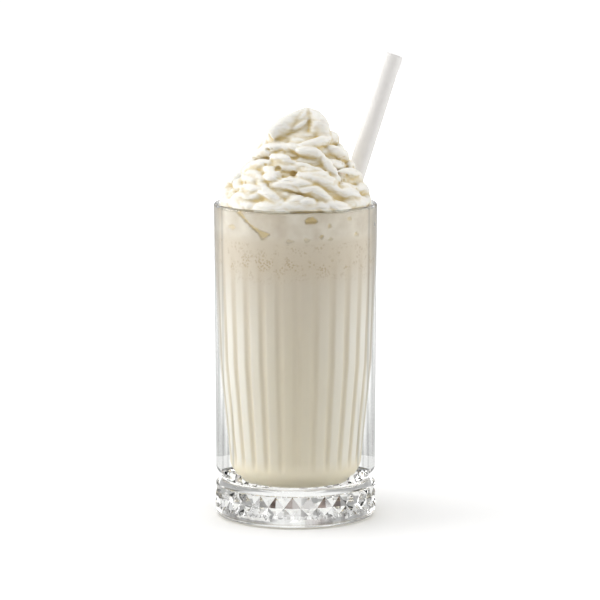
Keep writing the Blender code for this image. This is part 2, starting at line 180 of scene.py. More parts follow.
# Lobes that meet in the peak: four points of each one's middle, with its radius there as the last
PEAK_LOBES = (
    ((5.1, -0.6, 196.4, 0.5), (0.6, -4.0, 192.0, 3.2), (-5.0, -7.0, 188.0, 4.6), (-12.0, -8.0, 183.5, 3.6)),
    ((5.1, -0.6, 196.4, 0.5), (9.6, -2.4, 193.0, 3.4), (12.0, -5.0, 188.5, 4.9), (13.0, -8.5, 181.5, 3.4)),
    ((5.1, -0.2, 196.4, 0.5), (8.0, 3.0, 192.0, 3.4), (6.0, 7.0, 188.0, 4.8), (-2.0, 10.0, 183.0, 3.6)),
    ((-8.0, -7.5, 181.0, 2.2), (-2.5, -9.8, 181.6, 2.5), (5.2, -9.2, 182.9, 2.9), (11.0, -7.5, 182.6, 2.4)),
)
# Small holes in the cream: the turn from the front in degrees, height and radius in millimetres
HOLES = ((-7.0, 174.6, 1.9), (-23.0, 169.6, 1.5), (-4.0, 167.2, 1.8), (-50.0, 177.5, 1.3))
HOLE_DEPTH = 1.2
HOLE_STEEPNESS = 0.7
HOLE_WIDENING = 1.5
HOLE_BEND = 0.12
HOLE_SLOPE = 0.25
HOLE_REACH = 6.0
# Bubbles in the cream near the straw and round the back: count, turns and heights between, and radii
BUBBLES = (
    (34, (36.0, 84.0), (157.0, 182.0), (0.35, 0.75)),
    (24, (84.0, 330.0), (153.0, 186.0), (0.4, 1.0)),
)
# Ripples: height between them in millimetres, count round the mound, how far they wander, and depth
RIPPLES = ((7.6, 6, 3.0, 1.00), (3.6, 11, 4.0, 0.55), (1.9, 18, 5.0, 0.20))
CALM_Z = 180.0
CALM_RUN = 5.0
CALM_SHARE = 0.75
# Painted shade of the cream, deepest in its creases and on its undersides: passes of smoothing that the
# creases are measured against, and a full one's depth
FINE_CREASE = (11, 0.0008)
WIDE_CREASE = (57, 0.0014)
CREST_TONE = 0.30
UNDERSIDE_SHADE = 0.4
UNDERSIDE_SLOPE = 0.4
UNDERSIDE_MOST = 1.2
# Streaks drawn out along the folds: how they are stretched and turned, and their share of beige
STREAK_STRETCH = (1.0, 1.0, 3.4)
STREAK_TURN = (0.0, math.radians(14.0), 0.0)
STREAK_TONE = 0.16
STREAK_SCALE = 100.0
STREAK_SPAN = (0.35, 0.65)
STREAK_DEPTH = 0.0016
SEED = 11

# Gaps between the cream and the wall: the turn from the front in degrees, height, half width,
# half height and depth in millimetres
POCKETS = (
    (11.3, 146.2, 3.4, 1.8, 1.20), (-4.3, 136.5, 1.7, 1.0, 0.55),
    (8.4, 137.0, 1.5, 0.9, 0.35), (19.3, 138.4, 1.1, 1.0, 0.55),
    (25.4, 143.4, 1.2, 1.2, 0.40), (26.3, 137.2, 1.4, 0.9, 0.35),
    (50.8, 138.3, 2.1, 1.2, 0.50), (-53.3, 141.8, 3.2, 1.2, 0.35),
    (42.8, 146.3, 1.5, 1.1, 0.30), (84.0, 141.0, 1.8, 1.0, 0.50),
    (121.0, 138.5, 1.4, 0.9, 0.40), (148.0, 144.0, 2.4, 1.4, 0.80),
    (176.0, 139.5, 1.5, 0.9, 0.45), (205.0, 142.0, 1.8, 1.2, 0.60),
    (238.0, 137.8, 1.4, 0.9, 0.40), (262.0, 144.5, 2.0, 1.3, 0.70),
)
POCKET_BEND = 0.35
POCKET_DROP = 0.2
POCKET_STEEPNESS = 2.6
CREAM_RADIUS = 36.5
# How the gaps' outlines wander across and up: the amount, the noise's scale and its shift
WANDER_ACROSS = ((1.3, 0.8, (0.0, 0.0, 0.0)), (0.8, 1.9, (0.0, 0.0, 0.0)))
WANDER_UP = ((0.7, 0.7, (31.0, 0.0, 7.0)), (0.4, 1.7, (0.0, 13.0, 0.0)))
# A drip that runs down inside the wall: the turn, height and half width along it
DRIP = (
    (-46.0, 149.6, 1.4), (-40.0, 146.5, 0.8), (-35.4, 143.8, 0.7),
    (-28.0, 141.0, 0.9), (-24.2, 139.0, 2.2), (-19.5, 139.9, 0.5),
)
DRIP_DEPTH = 0.65
DRIP_STEEPNESS = 2.2

# Colours of the contents
# The cream's own white on its crests, turning to painted beige and golden shade as the painted shade value
# grows
CREAM_COLOURS_AND_SHADE = (
    (0.00, (0.88, 0.86, 0.80)), (0.22, (0.82, 0.775, 0.665)), (0.45, (0.76, 0.69, 0.54)),
    (0.75, (0.69, 0.60, 0.41)), (1.00, (0.67, 0.53, 0.26)),
)
# The drink's colour up its height, darker towards the top; the light first stop is painted light on its
# foot, which lies in shade
DRINK_COLOURS_AND_FOOT_LIGHT = (
    (0.000, (0.950, 0.870, 0.680)), (0.110, (0.690, 0.620, 0.475)), (0.460, (0.600, 0.535, 0.410)),
    (0.830, (0.540, 0.475, 0.375)), (0.900, (0.530, 0.455, 0.345)), (1.000, (0.560, 0.490, 0.385)),
)
# Froth: its amount against the height in the drink, and its bubbles' scales, sizes and spreads
FROTH = ((0.80, 0.0), (0.865, 0.35), (0.915, 0.85), (0.95, 0.60), (1.00, 0.50))
SPECKS = ((900.0, 0.56, 0.48), (560.0, 0.46, 0.54), (320.0, 0.36, 0.58))
# Painted shade in the drink's rib grooves and painted light on the ribs between them, and their share
GROOVE_PAINTED_SHADE = (0.50, 0.44, 0.34)
RIB_PAINTED_LIGHT = (0.81, 0.80, 0.765)
RIB_PAINTED_SHARE = 0.7
# Painted shade of the small bubble hollows in the froth
BUBBLE_PAINTED_SHADE = (0.40, 0.31, 0.19)
PLUG_DARK = (0.51, 0.44, 0.345)
PLUG_LIGHT = (0.65, 0.60, 0.51)
SEAM = (0.1390, 0.1357)
GAP_FULL = 0.9
GAP_COLOUR = (0.56, 0.42, 0.18)
STRAW_DARK = (0.82, 0.80, 0.775)
STRAW_LIGHT = (0.85, 0.83, 0.805)

# Glass: painted shade and dark painted reflections towards its edges, its brightness set against how far
# its surface is turned away
BODY_IOR = 1.06
CORNER_IOR = 1.03
FOOT_IOR = 1.50
FOOT_EDGE_SHADE = ((0.00, 0.98), (0.80, 0.96), (1.00, 0.80))
RIM_EDGE_SHADE = ((0.00, 0.92), (0.45, 0.80), (0.80, 0.42), (0.90, 0.26), (0.96, 0.08), (1.00, 0.02))
CORNER_EDGE_SHADE = ((0.00, 0.99), (0.70, 0.97), (0.90, 0.70), (1.00, 0.35))
BODY_EDGE_SHADE = (
    (0.00, 0.98), (0.48, 0.98), (0.53, 0.90), (0.57, 0.40),
    (0.61, 0.75), (0.68, 0.48), (0.86, 0.32), (1.00, 0.08),
)
# Painted dark lines and clear strips in the thicker margin of glass near the foot, by how far its surface
# is turned away, and the heights between which they fade
MARGIN_EDGE_SHADE = (
    (0.00, 0.98), (0.365, 0.98), (0.380, 0.75), (0.392, 0.35), (0.405, 0.62), (0.430, 0.88),
    (0.462, 0.58), (0.483, 0.32), (0.505, 0.52), (0.560, 0.54), (0.585, 0.46), (0.605, 0.24),
    (0.625, 0.48), (0.70, 0.50), (0.80, 0.42), (0.90, 0.34), (1.00, 0.10),
)
MARGIN_FULL_Z = 0.034
MARGIN_FADE_Z = 0.068
RIM_GLASS_Z = 0.1490
GLASS_TINGE = (0.99, 1.0, 0.985)
GLASS_SHINE = 0.55
# Painted dark reflections in the foot's facets: their colour, and shares of it left, right, between and
# below diamonds
FACET_PAINTED_REFLECTION = (0.08, 0.03, 0.015)
FACET_LEFT = (0.45, 1.00)
FACET_RIGHT = (0.20, 0.75)
FACET_REST = (0.00, 0.25)
FACET_LOW = (0.00, 0.75)
FACET_LOW_Z = 0.0014
# Groups of diamonds of which some are dark and the rest weaker, as the room shows in them
FACET_GROUP = 10
FACET_GROUP_START = 9
FACET_GROUP_DARK = 5
FACET_WEAK = 0.35

# Studio: the room's brightness against the turn from the back, where 0 is behind the glass and 1
# in front of it, and the other lights
ROOM_LIGHT = (
    (0.00, 1.0), (0.06, 1.0), (0.09, 0.45), (0.25, 0.45),
    (0.38, 1.0), (0.55, 1.0), (0.66, 0.45), (1.00, 0.38),
)
CEILING_LIGHT = ((0.00, 1.0), (0.40, 0.8), (0.60, 0.3), (1.00, 0.25))
CEILING_SPAN = (0.45, 0.85)
BACKDROP = (1.05, 1.05, 1.05)
FLOOR_GLOW = ((0.00, 0.05), (0.05, 0.10), (0.18, 0.60), (1.00, 1.20))
FLOOR_REACH = 3.0
FLOOR_Z_BELOW = -0.0002
FLOOR_WHITE = (0.96, 0.96, 0.96)
FLOOR_BOUNCE = (0.80, 0.80, 0.80)
LIGHTS = (
    ("key_softbox", (-0.24, -0.26, 1.35), (1.2, 1.2), 9.0),
    ("left_softbox", (-1.3, 0.10, 0.28), (1.4, 0.4), 9.5),
    ("right_softbox", (1.3, 0.10, 0.28), (1.4, 0.4), 5.5),
)
LIGHTS_AIM_AT = Vector((0.0, 0.0, 0.09))


def add_object(name, data):
    """A new object in the scene."""
    obj = bpy.data.objects.new(name, data)
    bpy.context.scene.collection.objects.link(obj)
    return obj


def mesh_piece(name, vertices, faces, smooth_angle):
    """A mesh object from its points and faces, smooth where it bends less than the angle."""
    mesh = bpy.data.meshes.new(name)
    mesh.from_pydata([tuple(v) for v in vertices], [], [tuple(f) for f in faces])
    mesh.validate()
    mesh.shade_smooth()
    mesh.set_sharp_from_angle(angle=math.radians(smooth_angle))
    return add_object(name, mesh)


def evaluated_mesh(obj):
    """A mesh of the object as its modifiers or its curve's settings make it."""
    bpy.context.view_layer.update()
    graph = bpy.context.evaluated_depsgraph_get()
    return bpy.data.meshes.new_from_object(obj.evaluated_get(graph))


def wall_radius(z):
    """The inner radius of the glass at a height above its rounded bottom corner."""
    if z < CAVITY_MIDDLE_Z:
        low = (CAVITY_CORNER_RADIUS, CAVITY_CORNER_Z)
        high = (CAVITY_MIDDLE_RADIUS, CAVITY_MIDDLE_Z)
    else:
        low = (CAVITY_MIDDLE_RADIUS, CAVITY_MIDDLE_Z)
        high = (RIM_INNER_RADIUS, GLASS_HEIGHT)
    share = (z - low[1]) / (high[1] - low[1])
    return low[0] + share * (high[0] - low[0])


def body_radius(z):
    """The outer radius of the glass's body."""
    share = (z - BODY_CORNER_Z) / (GLASS_HEIGHT - BODY_CORNER_Z)
    return BODY_FOOT_RADIUS + share * (RIM_RADIUS - BODY_FOOT_RADIUS)


def steps_between(start, end, count):
    """Evenly spaced values from start up to but not including end."""
    return [start + (end - start) * i / count for i in range(count)]


def bezier(points, count):
    """Points along a cubic curve, without its last."""
    a, b, c, d = (Vector(p) for p in points)
    out = []
    for t in steps_between(0.0, 1.0, count):
        s = 1.0 - t
        out.append(tuple(a * s ** 3 + b * 3 * s * s * t + c * 3 * s * t * t + d * t ** 3))
    return out


def cavity_rows(outset, top, wall_rows):
    """The glass's inside from the floor's edge up to a height, moved out by outset."""
    rows = []
    for angle in steps_between(0.0, math.pi / 2, CAVITY_CORNER_ROWS):
        radius = FLOOR_RADIUS + (CAVITY_CORNER_RADIUS - FLOOR_RADIUS) * math.sin(angle)
        z = FLOOR_Z + (CAVITY_CORNER_Z - FLOOR_Z) * (1.0 - math.cos(angle))
        rows.append((radius + outset, z - outset * math.cos(angle)))
    for z in steps_between(CAVITY_CORNER_Z, top, wall_rows):
        rows.append((wall_radius(z) + outset, z))
    rows.append((wall_radius(top) + outset, top))
    return rows


def body_rows():
    """(radius, z) rows of the glass from its floor over the lip down to its neck."""
    lip_z = GLASS_HEIGHT - LIP_DROP
    rows = cavity_rows(0.0, lip_z, CAVITY_WALL_ROWS)
    lip_middle = (RIM_RADIUS + RIM_INNER_RADIUS) / 2
    lip_half = (RIM_RADIUS - RIM_INNER_RADIUS) / 2
    for angle in steps_between(math.pi * 0.93, 0.0, 12):
        z = GLASS_HEIGHT - LIP_DROP * (1.0 - math.sin(angle))
        rows.append((lip_middle + lip_half * math.cos(angle), z))
    heights = steps_between(lip_z, RIB_FULL_Z, 24) + steps_between(RIB_FULL_Z, BODY_CORNER_Z, 12)
    rows += [(body_radius(z), z) for z in heights]
    corner = ((BODY_FOOT_RADIUS, BODY_CORNER_Z), *CORNER_PULLS, (NECK_RADIUS, NECK_TOP_Z))
    return rows + bezier(corner, 12) + [(NECK_RADIUS, NECK_TOP_Z)]


def foot_rows():
    """(radius, z) rows of the glass from its neck down to its underside."""
    rows = bezier(((NECK_RADIUS, NECK_MIDDLE_Z), (NECK_RADIUS, NECK_Z), NECK_PULL, NECK_EDGE), 8)
    radius, z = NECK_EDGE
    for t in steps_between(0.0, 1.0, 3):
        rows.append((radius + (SHOULDER_RADIUS - radius) * t, z + (SHOULDER_Z - z) * t))
    rows.append((SHOULDER_RADIUS, SHOULDER_Z))
    half = DIAMOND_COLUMNS // 2
    heights = steps_between(DIAMOND_TOP_Z, DIAMOND_MIDDLE_Z, half)
    heights += steps_between(DIAMOND_MIDDLE_Z, DIAMOND_LOW_Z, half)
    heights += [DIAMOND_LOW_Z, (DIAMOND_LOW_Z + FOOT_EDGE_Z) / 2]
    rows += [(FOOT_RADIUS, z) for z in heights]
    for angle in steps_between(0.0, math.pi / 2, 10):
        radius = STANDING_RADIUS + (FOOT_RADIUS - STANDING_RADIUS) * math.cos(angle)
        rows.append((radius, FOOT_EDGE_Z * (1.0 - math.sin(angle))))
    rows.append((STANDING_RADIUS, 0.0))
    return rows


def rib_share(z):
    """How much of its depth a rib has at a height: all near the foot, and fading out upward."""
    rise = np.clip((z - RIB_LOW_Z) / (RIB_FULL_Z - RIB_LOW_Z), 0.0, 1.0)
    return rise * np.clip((RIB_TOP_Z - z) / (RIB_TOP_Z - RIB_FADE_Z), 0.0, 1.0)


def rib_depth(place, z):
    """How far a rib stands in from the wall."""
    near = 0.5 - 0.5 * np.cos(math.pi * np.clip(1.0 - place / RIB_HALF_WIDTH, 0.0, 1.0))
    return RIB_DEPTH * rib_share(z) * near


def diamond_depth(place, z):
    """How far the foot's band is cut in: nothing at each diamond's point, full on its outline."""
    up = (z - DIAMOND_MIDDLE_Z) / (DIAMOND_TOP_Z - DIAMOND_MIDDLE_Z)
    down = (DIAMOND_MIDDLE_Z - z) / (DIAMOND_MIDDLE_Z - DIAMOND_LOW_Z)
    away = place + np.where(z > DIAMOND_MIDDLE_Z, up, down)
    return DIAMOND_DEPTH * (1.0 - np.abs(1.0 - away))


def around(rows, count, columns, turn):
    """Arrays for a turned grid of count panels: angle, radius, height and place across a panel.

    The place is 0 at a panel's middle and 1 at its edges.
    """
    total = count * columns
    column = np.arange(total)
    place = np.abs((column + columns / 2) % columns - columns / 2) / (columns / 2)
    angle = turn + math.tau * column / total
    flat = np.ones(total)[None, :]
    radius = np.array([r for r, _ in rows])[:, None] * flat
    height = np.array([z for _, z in rows])[:, None] * flat
    return angle, radius, height, place[None, :] * np.ones(len(rows))[:, None]


def grid_points(angle, radius, height):
    """The grid's points row by row."""
    return np.stack([radius * np.cos(angle), radius * np.sin(angle), height], axis=-1).reshape(-1, 3)


def grid_faces(rows, columns, first, creased=None):
    """Faces of a turned grid; where creased is set they are triangles that follow the creases."""
    faces = []
    for i in range(rows - 1):
        for j in range(columns):
            k = (j + 1) % columns
            a, b = first + i * columns + j, first + i * columns + k
            c, d = first + (i + 1) * columns + k, first + (i + 1) * columns + j
            split = None if creased is None else creased(i, j, k)
            if split is None:
                faces.append((a, b, c, d))
            elif split:
                faces += [(a, b, c), (a, c, d)]
            else:
                faces += [(a, b, d), (b, c, d)]
    return faces


def end_fans(columns, last_columns, middle):
    """Triangles that close a turned grid's two ends round the points middle and middle + 1."""
    last = middle - last_columns
    faces = [(middle, (j + 1) % columns, j) for j in range(columns)]
    return faces + [(middle + 1, last + j, last + (j + 1) % last_columns) for j in range(last_columns)]


def closed_piece(name, rows, points, smooth_angle):
    """A turned piece from its grid's points, closed on its axis at both ends."""
    columns = len(points) // len(rows)
    faces = grid_faces(len(rows), columns, 0) + end_fans(columns, columns, len(points))
    ends = [(0.0, 0.0, rows[0][1]), (0.0, 0.0, rows[-1][1])]
    return mesh_piece(name, [*points, *ends], faces, smooth_angle)


def ring_order(angles, first):
    """A ring's points, numbered from first, as (angle, number) pairs in order of angle."""
    return sorted((angle % math.tau, first + i) for i, angle in enumerate(angles))


def zip_rings(one, other):
    """Triangles between two rings of (angle, number) pairs that differ in count."""
    faces = []
    i = j = 0
    one_round = one + [(one[0][0] + math.tau, one[0][1])]
    other_round = other + [(other[0][0] + math.tau, other[0][1])]
    while i < len(one) or j < len(other):
        a, b = one_round[i][1], other_round[j][1]
        if j == len(other) or (i < len(one) and one_round[i + 1][0] <= other_round[j + 1][0]):
            i += 1
            faces.append((a, one_round[i][1], b))
        else:
            j += 1
            faces.append((a, other_round[j][1], b))
    return faces


def make_glass():
    """The glass: a fine turned grid, ribbed round its body and cut round its foot."""
    tiny = 1e-6
    upper = body_rows()
    upper_angle, radius, height, place = around(upper, RIBS, RIB_COLUMNS, RIB_TURN)
    inner = (np.arange(len(upper)) <= CAVITY_CORNER_ROWS + CAVITY_WALL_ROWS)[:, None]
    ribbed = inner & (radius > FLOOR_RADIUS)
    radius = np.where(ribbed, radius - rib_depth(place, height), radius)
    upper_points = grid_points(upper_angle, radius, height)
    lower = foot_rows()
    lower_angle, radius, height, place = around(lower, DIAMONDS, DIAMOND_COLUMNS, DIAMOND_TURN)
    in_band = (height > DIAMOND_LOW_Z - tiny) & (height < DIAMOND_TOP_Z + tiny)
    in_band &= radius > STANDING_RADIUS + tiny
    radius = np.where(in_band, radius - diamond_depth(place, height), radius)

    def creased(i, j, k):
        if not (in_band[i, j] and in_band[i + 1, j]):
            return None
        return radius[i, j] + radius[i + 1, k] < radius[i, k] + radius[i + 1, j]

    columns, foot_columns = len(upper_angle), len(lower_angle)
    foot = len(upper_points)
    ends = [(0.0, 0.0, FLOOR_Z), (0.0, 0.0, 0.0)]
    vertices = [*upper_points, *grid_points(lower_angle, radius, height), *ends]
    faces = grid_faces(len(upper), columns, 0) + grid_faces(len(lower), foot_columns, foot, creased)
    faces += zip_rings(ring_order(upper_angle, foot - columns), ring_order(lower_angle, foot))
    faces += end_fans(columns, foot_columns, len(vertices) - 2)
    glass = mesh_piece("ribbed_glass", vertices, [face[::-1] for face in faces], 14)
    paint_facet_reflections(glass)
    return glass


def paint_facet_reflections(glass):
    """Stores on each face of the foot how much painted dark reflection it gets, with the diamonds' left
    parts darkest.
    """
    dice = random.Random(SEED + 2)
    spans = (FACET_LEFT, FACET_RIGHT, FACET_REST)
    shades = [[dice.uniform(*span) for span in spans] for _ in range(DIAMONDS)]
    low_shades = [dice.uniform(*FACET_LOW) for _ in range(2 * DIAMONDS)]
    layer = glass.data.attributes.new("facet_painted_reflection", "FLOAT", "FACE")
    half_pitch = math.pi / DIAMONDS
    for face, value in zip(glass.data.polygons, layer.data):
        x, y, z = face.center
        if not FACET_LOW_Z < z < DIAMOND_TOP_Z or math.hypot(x, y) < STANDING_RADIUS:
            continue
        turn = (math.atan2(y, x) - DIAMOND_TURN) / half_pitch
        panel = round(turn / 2.0)
        across = turn - 2.0 * panel
        up = (z - DIAMOND_MIDDLE_Z) / (DIAMOND_TOP_Z - DIAMOND_MIDDLE_Z)
        dark = (panel + FACET_GROUP_START) % FACET_GROUP < FACET_GROUP_DARK
        left, right, rest = [amount * (1.0 if dark else FACET_WEAK) for amount in shades[panel % DIAMONDS]]
        if z < DIAMOND_LOW_Z:
            shade = low_shades[math.floor(turn) % (2 * DIAMONDS)]
            value.value = shade * (1.0 - abs(turn % 1.0 - 0.5))
        elif up > 0.0 and abs(across) + up < 1.0:
            value.value = left if across < 0.0 else right
        else:
            value.value = rest


def turned_grid(name, rows, columns, drawn_in):
    """A closed turned piece whose points drawn_in(angle, z) moves towards its axis."""
    points = []
    for radius, z in rows:
        for j in range(columns):
            angle = RIB_TURN + math.tau * j / columns
            reach = radius - drawn_in(angle, z)
            points.append((reach * math.cos(angle), reach * math.sin(angle), z))
    return closed_piece(name, rows, points, 50)


def half_turn(turn):
    """The same turn in degrees, from -180 to 180."""
    return (turn + 180.0) % 360.0 - 180.0


def wandering(place, waves):
    """The sum of noise waves at a place, each with an amount, a scale and a shift."""
    return sum(amount * noise.noise(place * scale + Vector(shift)) for amount, scale, shift in waves)


def along_wall(turn):
    """The way round the cream's wall that a turn in degrees makes, in millimetres."""
    return math.radians(turn) * CREAM_RADIUS


def pocket_depth(angle, z):
    """How far the cream stands back from the wall, in millimetres."""
    turn = half_turn(math.degrees(angle) + 90.0)
    height = z * 1000.0
    place = Vector((along_wall(turn), height, 0.0))
    turn += wandering(place, WANDER_ACROSS)
    height += wandering(place, WANDER_UP)
    deepest = 0.0
    for at, high, wide, tall, deep in POCKETS:
        across = along_wall(half_turn(turn - at)) / wide
        up = (height - high) / tall + POCKET_BEND * across * across - POCKET_DROP
        edge = 1.0 - min(1.0, math.hypot(across, up))
        deepest = max(deepest, deep * min(1.0, edge * POCKET_STEEPNESS))
    for (a, h, w), (b, g, v) in zip(DRIP, DRIP[1:]):
        run = Vector((along_wall(b - a), g - h))
        here = Vector((along_wall(turn - a), height - h))
        share = max(0.0, min(1.0, here.dot(run) / run.length_squared))
        edge = 1.0 - (here - run * share).length / (w + (v - w) * share)
        deepest = max(deepest, DRIP_DEPTH * max(0.0, min(1.0, edge * DRIP_STEEPNESS)))
    return deepest


def make_drink():
    """The drink, reaching just into the wall and its ribs, up to the cream, with the painted light and
    shade of its ribs stored on its points.
    """
    rows = cavity_rows(INTO_WALL, DRINK_TOP_Z, DRINK_WALL_ROWS)
    angle, radius, height, place = around(rows, RIBS, RIB_COLUMNS, RIB_TURN)
    grooved = radius > FLOOR_RADIUS + 2 * INTO_WALL
    radius = np.where(grooved, radius - rib_depth(place, height), radius)
    drink = closed_piece("vanilla_drink", rows, grid_points(angle, radius, height), 60)
    # Painted light on the ribs and painted shade in their grooves, strongest at the sides where the lamps
    # stand, and fading with the ribs
    strength = np.abs(np.cos(angle))[None, :] ** 1.3 * rib_share(height)
    rib_lights_and_shades = 0.5 - 0.5 * strength * np.cos(math.pi * np.clip(place / RIB_HALF_WIDTH, 0.0, 1.0))
    layer = drink.data.attributes.new("rib_light_and_shade", "FLOAT", "POINT")
    layer.data.foreach_set("value", np.concatenate([rib_lights_and_shades.ravel(), [0.5, 0.5]]))
    return drink


def make_plug():
    """The cream inside the glass's mouth, with gaps where it stands back from the wall."""
    heights = steps_between(PLUG_LOW_Z, PLUG_HIGH_Z, PLUG_ROWS)
    rows = [(wall_radius(z) + PLUG_INTO_WALL, z) for z in heights]
    rows += [(wall_radius(PLUG_HIGH_Z) - PLUG_EDGE_IN, PLUG_HIGH_Z), PLUG_TOP]

    def drawn_in(angle, z):
        return pocket_depth(angle, z) / 1000.0

    plug = turned_grid("cream_in_glass", rows, PLUG_COLUMNS, drawn_in)
    layer = plug.data.attributes.new("gap", "FLOAT", "POINT")
    for vertex, value in zip(plug.data.vertices, layer.data):
        x, y, z = vertex.co
        value.value = min(1.0, pocket_depth(math.atan2(y, x), z) / GAP_FULL) ** 0.6
    return plug


def star_section():
    """The outline of the piping tip, of radius 1: round lobes with creases between them."""
    curve = bpy.data.curves.new("rope_section", "CURVE")
    curve.dimensions = "2D"
    spline = curve.splines.new("POLY")
    count = ROPE_RIDGES * ROPE_RIDGE_POINTS
    spline.points.add(count - 1)
    for i, point in enumerate(spline.points):
        angle = math.tau * i / count
        lobe = abs(math.cos(angle * ROPE_RIDGES / 2))
        reach = 1.0 - ROPE_RIDGE_DEPTH * (1.0 - lobe ** 0.7)
        point.co = (reach * math.cos(angle), reach * math.sin(angle), 0.0, 1.0)
    spline.use_cyclic_u = True
    return add_object("rope_section", curve)


def rope_path():
    """Points of the rope's middle with its radius: a conical spiral, a little uneven."""
    dice = random.Random(SEED)
    phases = [dice.uniform(0.0, math.tau) for _ in range(5)]
    path = []
    for i in range(ROPE_POINTS):
        share = i / (ROPE_POINTS - 1)
        angle = ROPE_START + math.tau * ROPE_TURNS * share
        wave = math.sin(angle * 1.7 + phases[0]) + math.sin(angle * 0.6 + phases[1])
        lift = math.sin(angle * 1.3 + phases[2])
        reach = ROPE_LOW_REACH + (ROPE_TOP_REACH - ROPE_LOW_REACH) * share ** 0.92
        reach += ROPE_WANDER * wave * (1.0 - share)
        z = ROPE_LOW_Z + (ROPE_TOP_Z - ROPE_LOW_Z) * share + ROPE_LIFT * lift
        radius = ROPE_LOW_RADIUS + (ROPE_TOP_RADIUS - ROPE_LOW_RADIUS) * share
        swell = math.sin(angle * 3.1 + phases[3]) * math.sin(angle * 1.9 + phases[4])
        radius *= 1.0 + ROPE_SWELL * swell
        start = min(1.0, 0.35 + share * 9.0)
        place = Vector((reach * math.cos(angle), reach * math.sin(angle), z))
        path.append((place + PEAK_SHIFT * share ** 1.5, radius * start))
    end, before = path[-1][0], path[-2][0]
    onward = end + (end - before).normalized() * PEAK_RUN + Vector((0.0, 0.0, PEAK_RISE))
    tip = Vector((PEAK_SHIFT.x + 0.0005, PEAK_SHIFT.y - 0.0010, PEAK_Z))
    for i in range(1, PEAK_POINTS + 1):
        share = i / PEAK_POINTS
        place = end.lerp(onward, share).lerp(onward.lerp(tip, share), share)
        path.append((place, ROPE_TOP_RADIUS * (1.0 - share) ** 0.75 + 0.0004))
    return path


def tube_mesh(curve, points):
    """The mesh of a curve laid through points of (place, radius, tilt), with its caps welded."""
    curve.dimensions = "3D"
    curve.use_fill_caps = True
    spline = curve.splines.new("POLY")
    spline.points.add(len(points) - 1)
    for point, (place, radius, tilt) in zip(spline.points, points):
        point.co = (*place, 1.0)
        point.radius = radius
        point.tilt = tilt
    obj = add_object(curve.name, curve)
    mesh = evaluated_mesh(obj)
    bpy.data.objects.remove(obj, do_unlink=True)
    weld = bmesh.new()
    weld.from_mesh(mesh)
    bmesh.ops.remove_doubles(weld, verts=weld.verts, dist=0.000001)
    weld.to_mesh(mesh)
    weld.free()
    return mesh


def round_tube(points):
    """The mesh of a round tube through points of (place, radius)."""
    curve = bpy.data.curves.new("cream_tube", "CURVE")
    curve.bevel_depth = 1.0
    curve.bevel_resolution = 5
    return tube_mesh(curve, [(place, radius, 0.0) for place, radius in points])


def make_rope(section):
    """The piped rope as a mesh."""
    curve = bpy.data.curves.new("cream_rope", "CURVE")
    curve.twist_mode = "Z_UP"
    curve.bevel_mode = "OBJECT"
    curve.bevel_object = section
    path = rope_path()
    tilt = 0.0
    points = []
    for i, (place, radius) in enumerate(path):
        if i:
            easing = 1.0 - 0.6 * i / len(path)
            tilt += ROPE_TWIST * easing * (place - path[i - 1][0]).length
        points.append((place, radius, tilt))
    return tube_mesh(curve, points)


def mound_reach(height):
    """How far the mound reaches from its axis at a height, both in millimetres."""
    for (low, wide), (high, narrow) in zip(MOUND, MOUND[1:]):
        if height < high:
            return wide + (narrow - wide) * max(0.0, (height - low) / (high - low))
    return MOUND[-1][1]


def on_mound(turn, reach, height):
    """The place at a turn in radians, moved as the mound leans, with all else in millimetres."""
    lean = PEAK_SHIFT * 1000.0 * (max(0.0, height - LEAN_FROM) / LEAN_RUN) ** 1.5
    return Vector((reach * math.sin(turn), -reach * math.cos(turn), height)) + lean


def fold_path(fold):
    """Points of a fold's middle with its radius: it lies half sunk in the mound, with thin ends."""
    start, end, low, high, arch, thickness = fold
    path = []
    for i in range(FOLD_POINTS):
        share = i / (FOLD_POINTS - 1)
        turn = math.radians(start + (end - start) * share)
        height = low + (high - low) * share + arch * 4.0 * share * (1.0 - share)
        full = math.sin(math.pi * share) ** 0.42
        reach = mound_reach(height) - thickness * (1.15 - 0.25 * full)
        place = on_mound(turn, reach, height)
        path.append((place / 1000.0, thickness / 1000.0 * max(full, 0.12)))
    return path


def back_folds():
    """Folds all round at the rim, and in tiers round the sides and the back, a little uneven."""
    dice = random.Random(SEED + 1)
    folds = []
    for turn in range(0, 360, RIM_SPACING):
        low = RIM_HEIGHT + dice.uniform(-1.0, 0.5)
        top = RIM_HEIGHT + dice.uniform(0.0, 2.5)
        length = RIM_SPACING * dice.uniform(1.2, 1.7)
        folds.append((turn - length / 2, turn + length / 2, top, low, 0.8, dice.uniform(2.6, 3.6)))
    for height, spacing in BACK_FOLDS:
        turn = BACK_FROM + dice.uniform(0.0, spacing / 2)
        while turn < BACK_TO:
            length = spacing * dice.uniform(1.25, 1.7)
            top = height + BACK_DROP / 2 + dice.uniform(-1.5, 1.5)
            low = top - BACK_DROP * dice.uniform(0.7, 1.2)
            arch = dice.uniform(0.5, 3.0)
            folds.append((turn - length / 2, turn + length / 2, top, low, arch, dice.uniform(2.3, 3.2)))
            turn += spacing * dice.uniform(0.8, 1.15)
    return folds


def lobe_path(lobe):
    """Points of a lobe's middle with its radius, along a cubic curve."""
    places = bezier([place[:3] for place in lobe], FOLD_POINTS) + [lobe[-1][:3]]
    path = []
    for i, place in enumerate(places):
        share = i / (len(places) - 1) * (len(lobe) - 1)
        low = min(int(share), len(lobe) - 2)
        radius = lobe[low][3] + (lobe[low + 1][3] - lobe[low][3]) * (share - low)
        path.append((Vector(place) / 1000.0, radius / 1000.0))
    return path


def cream_holes():
    """Every hole and bubble of the cream: its place in millimetres on the mound, and its radius."""
    dice = random.Random(SEED + 3)
    holes = list(HOLES)
    for count, *spans in BUBBLES:
        holes += [[dice.uniform(*span) for span in spans] for _ in range(count)]
    return [
        (on_mound(math.radians(turn), mound_reach(height) + 1.0, height), radius)
        for turn, height, radius in holes
    ]


